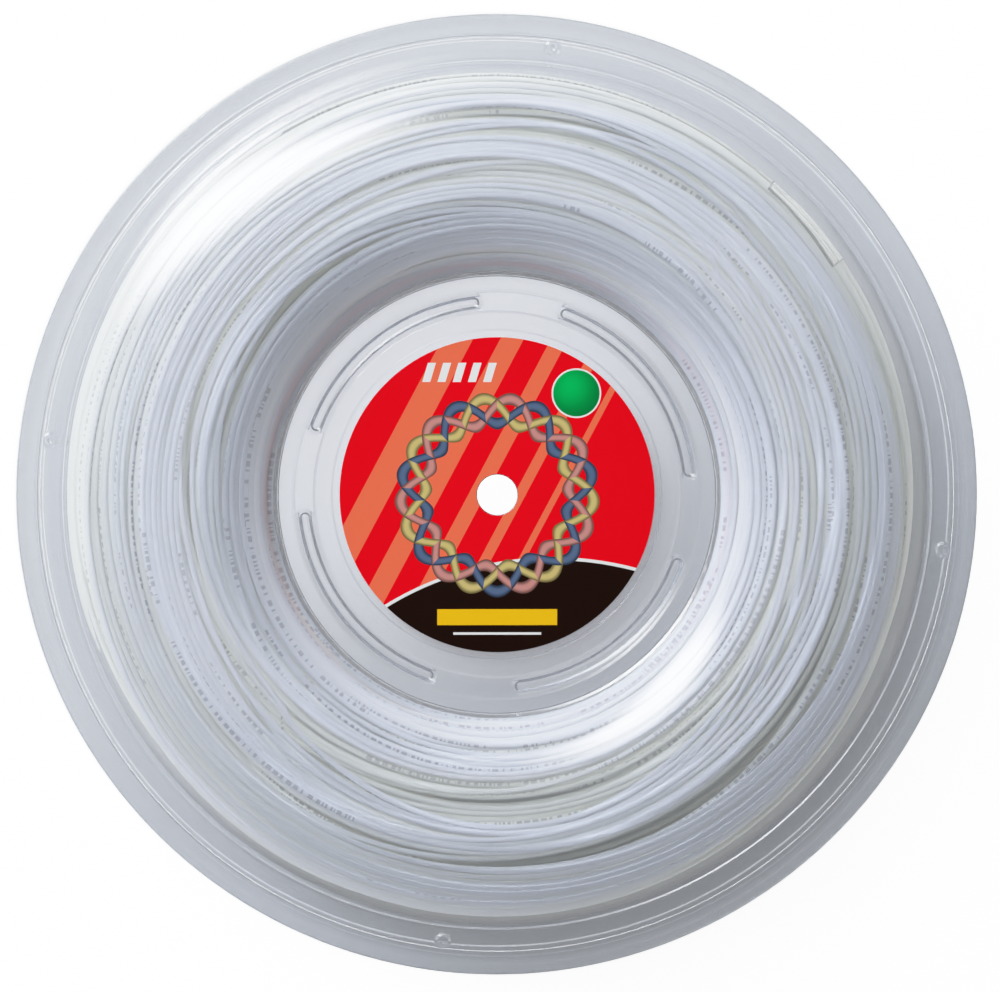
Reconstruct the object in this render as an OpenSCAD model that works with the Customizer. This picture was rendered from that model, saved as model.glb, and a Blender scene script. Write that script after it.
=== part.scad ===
// Racket string reel. Two clear moulded halves are joined back to back at the hub. Each half is a flat hub
// floor, a domed ring and a stepped rim. The string lies wound between the domes and leaves by the open
// mouth between the rims. The joint plane is level with the crown height above the table.

/* [Reel] */
// Outside diameter of the reel, over the rim
reel_d = 240; // [234:1:260]
// Height of each dome's flat crown above the joint plane
crown_h = 15.7; // [14.5:0.1:17.5]
// Radius at the middle of the flat crown
crown_r = 80; // [78:0.5:82]
// Width of the flat crown
crown_w = 8; // [4:0.5:11]
// Wall thickness of the domes and rims
wall = 1.2; // [0.9:0.1:1.5]

/* [Rim] */
// Width of the outer lip
lip_w = 4.75; // [3.5:0.25:6]
// Drop of the lip's face below the land
lip_drop = 0.7; // [0.3:0.1:1]
// Width of the flat land between the bead and the lip
land_w = 6.05; // [5:0.05:7]
// Height of the land's face above the joint plane
land_h = 6.5; // [5.5:0.1:7.5]
// Width of the round bead at the foot of the dome
bead_w = 1.2; // [0.8:0.1:1.5]
// Height of the bead above the land
bead_h = 0.35; // [0.2:0.05:0.5]
// Gap between the foot of the dome and the bead
bead_gap = 0.7; // [0.3:0.1:1.2]
// Diameter of the moulding pips on the land
pip_d = 3.4; // [2.5:0.1:4]
// Height of the pips above the land
pip_h = 0.35; // [0.2:0.05:0.6]
// Diameter of the dimple in each pip
dimple_d = 1.2; // [0.6:0.1:1.6]

/* [Hub] */
// Diameter of the hub floor, up to the foot of the dome
hub_d = 109.5; // [106:0.5:112]
// Thickness of each half's hub floor
floor_h = 3; // [2.5:0.1:3.5]
// Diameter of the spindle bore
bore_d = 10; // [8:0.5:14]
// Number of arc pockets in each floor, with a pip in line with each web
pockets = 4; // [3:1:6]
// Width of each arc pocket
pocket_w = 5.25; // [4:0.25:6]
// Floor left between the pockets and the foot of the dome
pocket_margin = 3.75; // [3:0.25:4.5]
// Floor left between the ends of two neighbouring pockets
web_w = 18; // [10:0.5:24]
// Depth of the pockets
pocket_depth = 1.6; // [0.8:0.1:1.9]
// Turn of the webs from the label's upright
web_turn = -7; // [-45:1:45]
// Diameter of the shallow recess for the label
recess_d = 82.4; // [78:0.2:84]
// Depth of the label recess
recess_depth = 0.4; // [0.2:0.1:0.6]
// Radius at the middle of the tongue that locates the two halves
tongue_r = 30; // [20:0.5:36]
// Width of the tongue
tongue_w = 1.6; // [1.2:0.1:2.4]
// Height of the tongue
tongue_h = 1.2; // [0.8:0.1:1.4]

/* [Labels] */
// Gap between the label's edge and the side of its recess
label_gap = 1.8; // [0.5:0.1:3]
// Gap between the label's hole and the bore
label_hole_gap = 0.2; // [0.1:0.1:2]
// Thickness of the labels
label_t = 0.2; // [0.1:0.05:0.4]

/* [String] */
// Diameter of the string
strand_d = 1.3; // [1.1:0.05:1.4]
// Loops in the outer layer of turns
loops = 24; // [12:1:24]
// Distance from the rim's edge in to the wound pack
pack_inset = 19; // [17:0.5:24]
// Turn of the string's free end from the label's upright
tail_turn = 45; // [20:1:70]

/* [Tape] */
// Thickness of the strips that hold the string's ends
tape_t = 0.12; // [0.08:0.01:0.16]
// Width of the strip over the free end
tape_w = 13; // [8:0.5:14]
// Length of the strip over the free end, around the pack
tape_l = 26; // [15:1:40]
// Width of the strip at the start of the string, on the drum
start_tape_w = 4; // [3:0.2:4.4]
// Length of the strip at the start, around the drum
start_tape_l = 20; // [10:1:40]

/* [Hidden] */

round_fn = 144;       // facets of the turned surfaces as drawn
pocket_steps = 16;    // steps along each long side of a pocket
end_steps = 8;        // steps round each end of a pocket
rings = 24;           // rings in each loop of string
sides = 6;            // sides of the string's tube
string_air = 0.3;     // clearance between the string and the halves
turn_play = 0.25;     // room above and below the outer turns on the domes
tape_air = 0.05;      // gap under a strip
groove_air = 0.1;     // gap beside the tongue
groove_air_z = 0.15;  // gap under the tongue
overcut = 1;          // how far a cutting shape runs past a face

reel_r = reel_d / 2;
hub_r = hub_d / 2;
drum_r = hub_r + wall;
crown_in = crown_r - crown_w / 2;
crown_out = crown_r + crown_w / 2;
lip_in = reel_r - lip_w;
lip_h = land_h - lip_drop;
bead_r = lip_in - land_w - bead_w / 2;
foot_r = bead_r - bead_w / 2 - bead_gap;
pip_r = lip_in - land_w / 2;

// A shoulder is an arc that leaves the crown level and falls by "fall" over "run".
function shoulder_r(run, fall) = (run * run + fall * fall) / (2 * fall);
inner_r = shoulder_r(crown_in - hub_r, crown_h - floor_h);
outer_r = shoulder_r(foot_r - crown_out, crown_h - land_h);

pocket_out = hub_r - pocket_margin;
pocket_in = pocket_out - pocket_w;
pocket_mid = (pocket_in + pocket_out) / 2;
pocket_half_angle = 180 / pockets - asin((web_w + pocket_w) / 2 / pocket_mid);
recess_r = recess_d / 2;
label_r = recess_r - label_gap;

// The wound string. A loop is drawn with straight chords, so its rings stand out by half of the chord's sag
// and the chords' middles stand in by the other half.
strand_r = strand_d / 2;
pack_r = reel_r - pack_inset;
sag = pack_r * (1 - cos(180 / rings));
turn_inset = string_air + turn_play + strand_r;
core_inset = turn_inset + strand_r + turn_play;
core_r = pack_r - strand_d - sag;
turn_r = pack_r - strand_r - sag / 2;
turn_in_r = inner_r - wall - turn_inset;
turn_out_r = outer_r - wall - turn_inset;

// The outer turns follow a line across the pack: up the inner shoulder, over the crown, down the outer
// shoulder and across the pack's outside as far as the strip.
first_angle = asin((crown_in - drum_r - core_inset) / turn_in_r);
last_angle = asin((turn_r - crown_out) / turn_out_r);
face_top = crown_h - outer_r + turn_out_r * cos(last_angle);
face_end = -(tape_w / 2 - strand_d);
run_in = turn_in_r * first_angle * PI / 180;
run_out = turn_out_r * last_angle * PI / 180;
run_face = face_top - face_end;
run_all = run_in + crown_w + run_out + run_face;

// Radius and height on that line, at the distance s from its start
function turn_at(s) =
    s < run_in ?
        let (a = first_angle * (1 - s / run_in))
        [crown_in - turn_in_r * sin(a), crown_h - inner_r + turn_in_r * cos(a)]
    : s < run_in + crown_w ?
        [crown_in + s - run_in, crown_h - wall - turn_inset]
    : s < run_in + crown_w + run_out ?
        let (a = last_angle * (s - run_in - crown_w) / run_out)
        [crown_out + turn_out_r * sin(a), crown_h - outer_r + turn_out_r * cos(a)]
    : [turn_r, face_top - (s - run_in - crown_w - run_out)];

ring_step = 360 / rings;
ring_count = loops * rings + 1;
chord_out = 1 + (1 / cos(ring_step / 2) - 1) / 2;
function turn_angle(i) = tail_turn + ring_step * (i - ring_count + 1);
function turn_point(i) =
    let (p = turn_at(run_all * i / (ring_count - 1)), a = turn_angle(i), r = p[0] * chord_out)
    [r * cos(a), r * sin(a), p[1]];

// Ring number i of the string's tube, moved along by "shift"
function turn_ring(i, shift = [0, 0, 0]) =
    let (c = turn_point(i), a = turn_angle(i))
    [for (k = [0 : sides - 1])
        let (b = 360 * k / sides)
        c + shift + strand_r * [cos(b) * cos(a), cos(b) * sin(a), sin(b)]];
function along(i, length) = let (a = turn_angle(i)) length * [-sin(a), cos(a), 0];

// Least distance between the rings of neighbouring loops, less the string's diameter
least_gap = min([for (i = [0 : ring_count - 1 - rings / 2])
    for (j = [i + rings / 2 : min(ring_count - 1, i + rings * 3 / 2)])
        norm(turn_point(i) - turn_point(j))]) - strand_d;
echo(str("string_turns: least gap to itself ", least_gap, " mm, over ", loops, " loops"));

// Outline of a half above the joint plane, as if it were solid
module half_outline() {
    translate([bore_d / 2, 0]) square([drum_r - bore_d / 2, floor_h]);
    intersection() {
        translate([crown_in, crown_h - inner_r]) circle(inner_r, $fn = round_fn);
        translate([hub_r, 0]) square([crown_in - hub_r, crown_h]);
    }
    translate([crown_in, 0]) square([crown_w, crown_h]);
    intersection() {
        translate([crown_out, crown_h - outer_r]) circle(outer_r, $fn = round_fn);
        translate([crown_out, 0]) square([foot_r - crown_out, crown_h]);
    }
    translate([foot_r, 0]) square([lip_in - foot_r, land_h]);
    translate([lip_in, 0]) square([lip_w - wall / 2, lip_h]);
    translate([reel_r - wall / 2, lip_h - wall / 2]) circle(d = wall, $fn = 48);
    translate([bead_r, land_h + bead_h - bead_w / 2]) circle(d = bead_w, $fn = 48);
}

// Disc that rounds a shoulder on its inside, "inset" away from the wall. Below its middle, where that lies
// above the joint plane, the space goes straight down.
module shoulder_space(centre_r, shoulder, inset) {
    r = shoulder - wall - inset;
    middle = crown_h - shoulder;
    translate([centre_r, middle]) circle(r, $fn = round_fn);
    if (middle > 0) translate([centre_r - r, 0]) square([2 * r, middle]);
}

// Space for the string under a dome, kept "inset" away from the wall and ending at the radius "end_r"
module string_space(inset, drum_inset, end_r) {
    intersection() {
        shoulder_space(crown_in, inner_r, inset);
        translate([drum_r + drum_inset, 0]) square([crown_in - drum_r - drum_inset, crown_h]);
    }
    translate([crown_in, 0]) square([crown_w, crown_h - wall - inset]);
    intersection() {
        shoulder_space(crown_out, outer_r, inset);
        translate([crown_out, 0]) square([end_r - crown_out, crown_h]);
    }
}

// Section of a half: the dome and rim as a wall, the hub floor with its recess for the label
module half_section() {
    difference() {
        half_outline();
        string_space(0, 0, foot_r);
        translate([foot_r - wall, -overcut]) square([lip_in - foot_r, land_h - wall + overcut]);
        translate([lip_in - wall, -overcut]) square([lip_w - wall / 2 + wall, lip_h - wall + overcut]);
        translate([lip_in, -overcut]) square([lip_w + overcut, lip_h - wall + overcut]);
        translate([0, floor_h - recess_depth]) square([recess_r, recess_depth + overcut]);
    }
}

// Points on an arc about "centre", from one angle to another in equal steps
function arc(centre, r, from, to, steps) =
    [for (i = [0 : steps]) let (a = from + (to - from) * i / steps) centre + r * [cos(a), sin(a)]];

module pocket() {
    a = pocket_half_angle;
    end_r = pocket_w / 2;
    translate([0, 0, floor_h - pocket_depth]) linear_extrude(pocket_depth + overcut)
        polygon(concat(
            arc([0, 0], pocket_out, -a, a, pocket_steps),
            arc(pocket_mid * [cos(a), sin(a)], end_r, a, a + 180, end_steps),
            arc([0, 0], pocket_in, a, -a, pocket_steps),
            arc(pocket_mid * [cos(a), -sin(a)], end_r, 180 - a, 360 - a, end_steps)));
}

module pip() {
    translate([pip_r, 0, land_h - wall / 2]) cylinder(d = pip_d, h = wall / 2 + pip_h, $fn = 48);
}

module pip_dimple() {
    translate([pip_r, 0, land_h + pip_h / 3]) cylinder(d = dimple_d, h = pip_h + overcut, $fn = 32);
}

// One moulded half, with its joint face down
module half() {
    difference() {
        union() {
            rotate_extrude($fn = round_fn) half_section();
            for (k = [1 : pockets]) rotate(web_turn + 360 * k / pockets) pip();
        }
        for (k = [1 : pockets]) rotate(web_turn + 360 * k / pockets) {
            pip_dimple();
            rotate(180 / pockets) pocket();
        }
    }
}

module ring(mid_r, width, height) {
    rotate_extrude($fn = round_fn) translate([mid_r - width / 2, 0]) square([width, height]);
}

module front_flange() {
    color([0.84, 0.88, 0.94, 0.35]) translate([0, 0, crown_h]) {
        half();
        translate([0, 0, -tongue_h]) ring(tongue_r, tongue_w, tongue_h + wall / 2);
    }
}

module rear_flange() {
    color([0.84, 0.88, 0.94, 0.35]) translate([0, 0, crown_h]) mirror([0, 0, 1]) difference() {
        half();
        translate([0, 0, -overcut])
            ring(tongue_r, tongue_w + 2 * groove_air, overcut + tongue_h + groove_air_z);
    }
}

// A label lies on the floor of its recess.
module label() {
    translate([0, 0, floor_h - recess_depth]) difference() {
        cylinder(r = label_r, h = label_t, $fn = round_fn);
        translate([0, 0, -overcut])
            cylinder(r = bore_d / 2 + label_hole_gap, h = label_t + 2 * overcut, $fn = 64);
    }
}

module front_label() {
    color([0.72, 0.16, 0.12]) translate([0, 0, crown_h]) label();
}

module rear_label() {
    color([0.12, 0.12, 0.13]) translate([0, 0, crown_h]) mirror([0, 0, 1]) label();
}

// Inner turns of the string, as one ring of the pack's section
module string_pack() {
    color([0.78, 0.8, 0.84]) translate([0, 0, crown_h]) rotate_extrude($fn = round_fn) {
        string_space(core_inset, string_air, core_r);
        mirror([0, 1]) string_space(string_air, string_air, core_r);
    }
}

// Outer layer of turns, one unbroken tube
module string_turns() {
    last = ring_count - 1;
    all_rings = concat([turn_ring(0, along(0, -strand_d))],
                       [for (i = [0 : last]) turn_ring(i)],
                       [turn_ring(last, along(last, strand_d))]);
    n = len(all_rings);
    walls = [for (i = [0 : n - 2]) for (k = [0 : sides - 1])
        let (a = i * sides + k, b = i * sides + (k + 1) % sides)
        each [[a, b, a + sides], [b, b + sides, a + sides]]];
    first_cap = [for (k = [1 : sides - 2]) [0, k + 1, k]];
    last_cap = [for (k = [1 : sides - 2]) (n - 1) * sides * [1, 1, 1] + [0, k, k + 1]];
    color([0.86, 0.88, 0.92]) translate([0, 0, crown_h])
        polyhedron([for (r = all_rings) each r], concat(walls, first_cap, last_cap));
}

// A strip bent round the reel's axis, from a start angle over a length
module strip(r, width, length, from) {
    rotate(from) rotate_extrude(angle = length / r * 180 / PI, $fn = round_fn)
        translate([r, -width / 2]) square([tape_t, width]);
}

module end_tape() {
    color([0.9, 0.9, 0.86, 0.6]) translate([0, 0, crown_h])
        strip(pack_r + tape_air, tape_w, tape_l, tail_turn - (tape_l * 0.75 / pack_r) * 180 / PI);
}

module start_tape() {
    color([0.9, 0.9, 0.86, 0.6]) translate([0, 0, crown_h])
        strip(drum_r + tape_air, start_tape_w, start_tape_l, tail_turn);
}

front_flange();
rear_flange();
front_label();
rear_label();
string_pack();
string_turns();
end_tape();
start_tape();
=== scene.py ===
import math

import bpy
import numpy as np
from mathutils import Matrix, Vector


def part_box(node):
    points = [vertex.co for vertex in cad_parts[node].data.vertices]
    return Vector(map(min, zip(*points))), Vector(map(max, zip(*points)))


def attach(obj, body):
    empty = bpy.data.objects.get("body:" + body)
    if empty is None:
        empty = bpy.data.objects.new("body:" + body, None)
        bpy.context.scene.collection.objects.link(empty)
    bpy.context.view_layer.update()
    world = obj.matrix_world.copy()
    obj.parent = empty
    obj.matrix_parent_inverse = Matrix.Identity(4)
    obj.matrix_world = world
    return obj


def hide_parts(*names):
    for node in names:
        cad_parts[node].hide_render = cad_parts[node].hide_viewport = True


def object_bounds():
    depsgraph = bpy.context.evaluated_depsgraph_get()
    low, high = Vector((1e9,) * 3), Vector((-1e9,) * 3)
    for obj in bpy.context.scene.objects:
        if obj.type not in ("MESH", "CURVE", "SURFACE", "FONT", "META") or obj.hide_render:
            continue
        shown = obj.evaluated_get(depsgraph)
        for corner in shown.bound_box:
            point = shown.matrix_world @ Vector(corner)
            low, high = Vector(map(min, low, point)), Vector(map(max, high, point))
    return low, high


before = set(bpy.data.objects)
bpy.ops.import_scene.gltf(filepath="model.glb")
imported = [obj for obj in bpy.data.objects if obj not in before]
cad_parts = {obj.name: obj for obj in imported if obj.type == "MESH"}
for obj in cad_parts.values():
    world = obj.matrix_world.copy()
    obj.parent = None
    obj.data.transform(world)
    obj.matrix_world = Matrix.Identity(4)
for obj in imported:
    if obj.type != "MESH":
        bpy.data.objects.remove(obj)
CAD_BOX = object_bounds()

bl_info = {
    "name": "String reel",
    "version": (1, 0, 0),
    "blender": (4, 5, 0),
    "location": "View3D > Sidebar > String Reel",
    "description": "Builds a clear reel of racket string around its packed frame",
    "category": "Object",
}

MM = 0.001
BODY = "root"
REEL_R = (CAD_BOX[1][0] - CAD_BOX[0][0]) / 2
CROWN_H = (CAD_BOX[1][2] - CAD_BOX[0][2]) / 2


# ---------- properties

def length(name, description, default, low=0.0, high=1.0):
    return bpy.props.FloatProperty(name=name, description=description, default=default, min=low, max=high,
                                   unit="LENGTH", precision=5)


def bearing(name, description, degrees):
    return bpy.props.FloatProperty(name=name, description=description, default=math.radians(degrees),
                                   subtype="ANGLE")


def count(name, description, default, low=0, high=1000):
    return bpy.props.IntProperty(name=name, description=description, default=default, min=low, max=high)


def colour(name, description, default):
    return bpy.props.FloatVectorProperty(name=name, description=description, default=default, size=3,
                                         min=0, max=1, subtype="COLOR")


class ReelSizes(bpy.types.PropertyGroup):
    """Driving sizes of the moulded halves"""
    crown_in: length("Crown inner radius", "Start of the flat crown", 76 * MM)
    crown_out: length("Crown outer radius", "End of the flat crown", 84 * MM)
    wall: length("Wall", "Thickness of domes and rims", 1.2 * MM)
    hub_r: length("Hub radius", "Radius at the foot of the inner dome", 54.75 * MM)
    floor_h: length("Hub floor", "Thickness of the hub floor", 3 * MM)
    bore_r: length("Bore radius", "Spindle bore", 5 * MM)
    recess_r: length("Recess radius", "Recess for the label", 41.2 * MM)
    recess_depth: length("Recess depth", "Recess for the label", 0.4 * MM)
    pocket_w: length("Pocket width", "Arc pockets in the hub floor", 5.25 * MM)
    pocket_margin: length("Pocket margin", "Floor between pockets and dome", 3.75 * MM)
    pocket_depth: length("Pocket depth", "Arc pockets in the hub floor", 1.6 * MM)
    web_w: length("Web", "Floor between the ends of two pockets", 18 * MM)
    web_turn: bearing("Web turn", "Turn of the webs and pips about the axis", -7)
    pockets: count("Pockets", "Number of arc pockets", 4, 3, 6)
    lip_w: length("Lip width", "Outer lip", 4.75 * MM)
    lip_drop: length("Lip drop", "Drop of the lip below the land", 0.7 * MM)
    land_w: length("Land width", "Flat land between the bead and the lip", 6.05 * MM)
    land_h: length("Land height", "Land above the joint plane", 6.5 * MM)
    bead_w: length("Bead width", "Bead round the dome's foot", 1.2 * MM)
    bead_h: length("Bead height", "Bead above the land", 0.25 * MM)
    bead_gap: length("Bead gap", "Gap between dome and bead", 0.7 * MM)
    pip_d: length("Pip diameter", "Moulding pips on the land", 3.4 * MM)
    pip_h: length("Pip height", "Pips above the land", 0.35 * MM)
    dimple_d: length("Dimple diameter", "Dimple in each pip", 1.2 * MM)


class StringSizes(bpy.types.PropertyGroup):
    """Driving sizes of the wound string"""
    strand_d: length("Strand diameter", "Diameter of the string", 1.3 * MM)
    wound: length("Wound length", "Length of string on the reel", 240.0, 1.0, 400.0)
    clearance: length("Clearance", "Gap between the string and the domes", 0.1 * MM)
    slack: length("Slack", "Air between strands side by side", 0.03 * MM)
    wander: length("Wander", "How far a strand slips into a hollow", 1.5 * MM)
    loose: length("Looseness", "How far a loose stretch stands off", 13 * MM)
    slow_pitch: length("Slow pitch", "Least sideways travel in one turn", 1.6 * MM)
    fast_pitch: length("Fast pitch", "Greatest sideways travel in one turn", 5.0 * MM)
    steps: count("Steps", "Points in one turn of string", 120, 48)
    sides: count("Sides", "Sides of the string's tube", 8, 5)
    seed: count("Seed", "Seed of the winding", 5)
    tail_turn: bearing("Tail turn", "Angle of the string's free end", 45)


class ReelColours(bpy.types.PropertyGroup):
    """Colours of the reel's finishes"""
    plastic: colour("Clear plastic", "Tint of the clear plastic", (0.91, 0.92, 0.945))
    string: colour("String", "Milky white of the string", (0.675, 0.70, 0.775))
    string_depth: colour("String depth", "Tint of light that passes through the string", (0.92, 0.915, 0.87))
    # Painted shade: strands deep in the winding, where shade falls between them, are darkened towards this
    # colour
    deep_string_shade: colour("Deep string", "Colour of strands deep in the winding", (0.67, 0.685, 0.645))
    print_grey: colour("String print", "Grey of the printed marks", (0.28, 0.29, 0.31))
    red: colour("Label red", "Red ground", (0.90, 0.001, 0.009))
    black: colour("Label black", "Dark field", (0.012, 0.0035, 0.0015))
    coral: colour("Label coral", "Pale bands", (0.97, 0.165, 0.08))
    green: colour("Label green", "Green disc", (0.0, 0.22, 0.045))
    amber: colour("Label amber", "Amber bar", (0.97, 0.52, 0.008))
    cream: colour("Label cream", "Cream strand of the braid", (0.62, 0.50, 0.19))
    pink: colour("Label pink", "Pink strand of the braid", (0.60, 0.27, 0.24))
    steel: colour("Label steel blue", "Blue-grey strand of the braid", (0.10, 0.15, 0.26))
    white: colour("Label white", "White marks and paper", (0.87, 0.87, 0.86))
    tape: colour("Strip", "Tint of the clear strips", (0.96, 0.96, 0.94))
    floor: colour("Floor", "Pale studio floor", (0.68, 0.68, 0.68))
    # The floor under the clear hub is darker and glows: painted light that is brighter towards the key lamp
    hub_floor: colour("Floor under the hub", "Floor under the clear hub", (0.25, 0.25, 0.24))
    hub_light: colour("Light under the hub", "Glow under the clear hub", (0.98, 0.985, 1.0))


# ---------- mesh tools

def make_object(name, points, quads, caps, material):
    """A smooth mesh object from grid quads, with a few larger faces to close it."""
    mesh = bpy.data.meshes.new(name)
    faces = quads.tolist() + [cap.tolist() for cap in caps]
    mesh.from_pydata(np.reshape(points, (-1, 3)).tolist(), [], faces, shade_flat=False)
    mesh.materials.append(material)
    obj = bpy.data.objects.new(name, mesh)
    bpy.context.scene.collection.objects.link(obj)
    return obj


def grid_quads(rows, columns, wrap_rows=False, wrap_columns=False, flip=False):
    """Corner numbers of the quads over a grid of points, numbered row by row."""
    i = np.arange(rows if wrap_rows else rows - 1)[:, None]
    j = np.arange(columns if wrap_columns else columns - 1)[None, :]
    down, right = (i + 1) % rows, (j + 1) % columns
    quads = np.stack([i * columns + j, down * columns + j, down * columns + right, i * columns + right], -1)
    return (quads[..., ::-1] if flip else quads).reshape(-1, 4)


def round_points(r, angle, height):
    """Points given by their radius and angle round the axis and their height."""
    return np.stack(np.broadcast_arrays(r * np.cos(angle), r * np.sin(angle), height), -1)


def smoothstep(x):
    """Ease from 0 to 1 as x runs from 0 to 1."""
    x = np.clip(x, 0, 1)
    return x * x * (3 - 2 * x)


def arc(centre, radius, start, end, steps):
    """Points on an arc, angles in radians, both ends included."""
    a = np.linspace(start, end, steps + 1)
    return [(centre[0] + radius * math.cos(t), centre[1] + radius * math.sin(t)) for t in a]


def rounded(outline, steps=4, greatest=0.3, beside=0.4):
    """Plain points of an outline of corners (radius, height) or, where rounded, (radius, height, fillet).

    A fillet takes up to the greatest share of the sides it joins. A point beside each of its ends keeps the
    shading of the flats flat.
    """
    points = []
    for k, corner in enumerate(outline):
        p = Vector(corner[:2])
        before, after = (Vector(outline[i % len(outline)][:2]) - p for i in (k - 1, k + 1))
        if len(corner) == 2 or before.length == 0 or after.length == 0:
            points.append(tuple(p))
            continue
        turn = before.angle(after)
        reach = min(corner[2] / math.tan(turn / 2), before.length * greatest, after.length * greatest)
        a, b = p + before.normalized() * reach, p + after.normalized() * reach
        bend = [(1 - t) ** 2 * a + 2 * t * (1 - t) * p + t * t * b for t in np.linspace(0, 1, steps + 1)]
        points += [tuple(q) for q in [a + beside * (a - p)] + bend + [b + beside * (b - p)]]
    return points


# ---------- reel section

# Fillets at the corners of the section
FILLET = {"joint": 0.1 * MM, "bore": 0.3 * MM, "recess": 0.2 * MM, "hub": 0.25 * MM, "foot": 0.6 * MM,
          "lip": 0.25 * MM, "inside": 0.3 * MM}
# Steps in the arcs of the section
ARC_STEPS = {"outside": 18, "inside": 14, "edge": 10, "bead": 10}
# Slopes into each relief, and the spacing of the rows across it
RECESS_DRAFT = 0.3 * MM
POCKET_EDGE = 0.4 * MM
POCKET_ROW = 0.16 * MM
RING_EDGE = 0.5 * MM
RING_DEPTH = 0.35 * MM
BEAD_MARGIN = 0.12 * MM
PIP_EDGE = 0.45 * MM
PIP_ROW = 0.25 * MM
DIMPLE_SHARE = 2 / 3
SEAM = {"share": 0.15, "width": 0.3 * MM}
# Degrees between the points round the reel, and the (reach, step) of the finer zones
TURN_STEP = 2
POCKET_END_ZONE = (2.1, 0.22)
PIP_ZONE = (1.3, 0.16)
# The joint of the two halves
JOINT_GAP = 0.03 * MM
TONGUE = {"mid": 30 * MM, "width": 1.6 * MM, "height": 1.2 * MM, "side_air": 0.1 * MM, "end_air": 0.15 * MM}
TINY = 1e-7


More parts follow.
